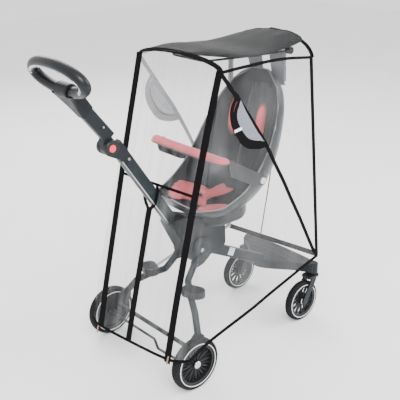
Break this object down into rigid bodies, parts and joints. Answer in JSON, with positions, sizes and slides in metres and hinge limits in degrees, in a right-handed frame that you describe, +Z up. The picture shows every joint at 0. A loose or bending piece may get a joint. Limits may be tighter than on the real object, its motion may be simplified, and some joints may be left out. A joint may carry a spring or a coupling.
{
  "type": "folding child stroller with rain cover",
  "caption": "Folding high-view child stroller with a bucket seat, oval push handle and swivelling casters, under a clear zip-front rain cover edged in black tape.",
  "frame": {"origin": "on the ground, under the middle of the object's bounding box", "axes": "+X the way it is pushed (front casters), +Y its left, +Z up"},
  "size_m": [0.9731, 0.517, 1.0787],
  "materials": {
    "tyre": "smooth rubber",
    "rim": "dark moulded",
    "frame_paint": "satin dark blue-grey",
    "frame_plastic": "satin moulded",
    "steel": "zinc plated",
    "button": "coral",
    "grip": "leather-grained cover",
    "shell": "smooth moulded",
    "pink": "coral padded",
    "liner": "light grey mesh",
    "canopy": "grey woven",
    "film": "clear film",
    "mesh": "vent mesh",
    "zip": "black",
    "post": "grey"
  },
  "bodies": {
    "chassis": {"arm_screws": "steel", "canopy_pivot": "steel", "canopy_post_left": "post", "canopy_post_right": "post", "caster_socket_left": "frame_plastic", "caster_socket_right": "frame_plastic", "cover_front": "film", "cover_rear": "film", "cover_roof": "film", "cover_side_left": "film", "cover_side_right": "film", "cover_vent_left": "mesh", "cover_vent_right": "mesh", "crotch_pad": "pink", "fold_pin": "steel", "footrest": "frame_plastic", "front_beam": "frame_paint", "headrest_wing_left": "pink", "headrest_wing_right": "pink", "hub_housing": "frame_plastic", "hub_pin": "steel", "knuckle_base": "frame_plastic", "lower_arm": "frame_paint", "seat_base": "shell", "seat_cushion": "pink", "seat_liner": "liner", "seat_shell": "shell"},
    "handle": {"upper_arm": "frame_paint", "handle_ring": "grip", "handle_yoke": "frame_plastic"},
    "rear_legs": {"rear_leg_left": "frame_paint", "rear_leg_right": "frame_paint", "hub_disc_left": "frame_plastic", "hub_disc_right": "frame_plastic", "wheel_bracket_left": "frame_plastic", "wheel_bracket_right": "frame_plastic", "leg_pad_left": "frame_plastic", "leg_pad_right": "frame_plastic", "rear_axle": "frame_paint"},
    "brake": {"brake_bar": "frame_paint"},
    "bumper": {"bumper_frame": "shell", "bumper_grip": "pink"},
    "canopy": {"canopy_fabric": "canopy", "canopy_frame": "frame_plastic"},
    "zip_slider": {"zip_slider": "zip"},
    "rear_wheel_left": {"rear_tyre_left": "tyre", "rear_rim_left": "rim"},
    "caster_left": {"caster_fork_left": "frame_plastic"},
    "front_wheel_left": {"front_tyre_left": "tyre", "front_rim_left": "rim"},
    "handle_button_left": {"handle_button_left": "button"},
    "bumper_button_left": {"bumper_button_left": "steel"},
    "rear_wheel_right": {"rear_tyre_right": "tyre", "rear_rim_right": "rim"},
    "caster_right": {"caster_fork_right": "frame_plastic"},
    "front_wheel_right": {"front_tyre_right": "tyre", "front_rim_right": "rim"},
    "handle_button_right": {"handle_button_right": "button"},
    "bumper_button_right": {"bumper_button_right": "steel"}
  },
  "joints": [
    {"name": "handle_fold", "type": "hinge", "parent": "chassis", "child": "handle", "pos_m": [-0.29855, 0, 0.786], "axis": [0, -1, 0], "range_deg": [0, 136]},
    {"name": "rear_leg_fold", "type": "hinge", "parent": "chassis", "child": "rear_legs", "pos_m": [0.02445, 0, 0.36], "axis": [0, -1, 0], "range_deg": [0, 58]},
    {"name": "brake_press", "type": "hinge", "parent": "rear_legs", "child": "brake", "pos_m": [-0.17055, 0, 0.089], "axis": [0, -1, 0], "range_deg": [0, 14]},
    {"name": "bumper_swing", "type": "hinge", "parent": "chassis", "child": "bumper", "pos_m": [0.17245, 0, 0.61], "axis": [0, 1, 0], "range_deg": [0, 75]},
    {"name": "canopy_tilt", "type": "hinge", "parent": "chassis", "child": "canopy", "pos_m": [0.35445, 0, 1], "axis": [0, -1, 0], "range_deg": [0, 17]},
    {"name": "rear_wheel_left_spin", "type": "hinge", "parent": "rear_legs", "child": "rear_wheel_left", "pos_m": [-0.17055, 0.232, 0.089], "axis": [0, 1, 0], "continuous": true},
    {"name": "caster_left_swivel", "type": "hinge", "parent": "chassis", "child": "caster_left", "pos_m": [0.46045, 0.166, 0.165], "axis": [0, 0, 1], "continuous": true},
    {"name": "front_wheel_left_spin", "type": "hinge", "parent": "caster_left", "child": "front_wheel_left", "pos_m": [0.40245, 0.166, 0.077], "axis": [0, 1, 0], "continuous": true},
    {"name": "handle_button_left_press", "type": "slide", "parent": "chassis", "child": "handle_button_left", "axis": [0, -1, 0], "range_m": [0, 0.003], "stiffness_N_per_m": 400},
    {"name": "rear_wheel_right_spin", "type": "hinge", "parent": "rear_legs", "child": "rear_wheel_right", "pos_m": [-0.17055, -0.232, 0.089], "axis": [0, 1, 0], "continuous": true},
    {"name": "caster_right_swivel", "type": "hinge", "parent": "chassis", "child": "caster_right", "pos_m": [0.46045, -0.166, 0.165], "axis": [0, 0, 1], "continuous": true},
    {"name": "front_wheel_right_spin", "type": "hinge", "parent": "caster_right", "child": "front_wheel_right", "pos_m": [0.40245, -0.166, 0.077], "axis": [0, 1, 0], "continuous": true},
    {"name": "handle_button_right_press", "type": "slide", "parent": "chassis", "child": "handle_button_right", "axis": [0, 1, 0], "range_m": [0, 0.003], "stiffness_N_per_m": 400},
    {"name": "bumper_button_left_press", "type": "slide", "parent": "bumper", "child": "bumper_button_left", "axis": [0, -1, 0], "range_m": [0, 0.003], "stiffness_N_per_m": 400},
    {"name": "bumper_button_right_press", "type": "slide", "parent": "bumper", "child": "bumper_button_right", "axis": [0, 1, 0], "range_m": [0, 0.003], "stiffness_N_per_m": 400},
    {"name": "zip_slide", "type": "slide", "parent": "chassis", "child": "zip_slider", "axis": [-0.2615, 0, -0.9652], "range_m": [0, 0.4]}
  ]
}
